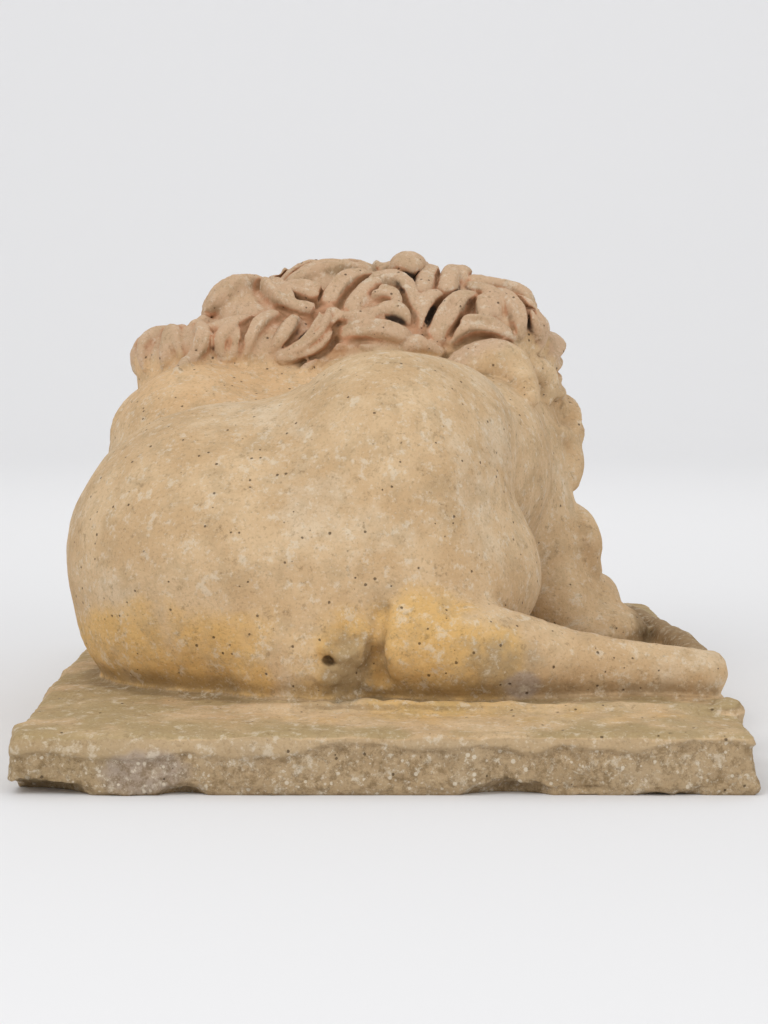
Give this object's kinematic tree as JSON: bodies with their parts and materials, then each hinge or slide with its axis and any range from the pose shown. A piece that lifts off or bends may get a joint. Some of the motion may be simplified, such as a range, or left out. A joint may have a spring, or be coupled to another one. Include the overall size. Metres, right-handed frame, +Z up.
{
  "type": "lion sculpture",
  "caption": "Cast stone lion lying on a rectangular slab, hips rolled to one side, with a curly mane, forelegs stretched ahead and a worn, stained surface.",
  "frame": {"origin": "centre of the slab's underside", "axes": "+Z up, +Y the way the lion faces, +X to the lion's right"},
  "size_m": [0.3992, 0.6192, 0.291],
  "materials": {
    "stone": "matt, pitted and weathered cast stone"
  },
  "bodies": {
    "root": {"lion": "stone"}
  },
  "joints": []
}
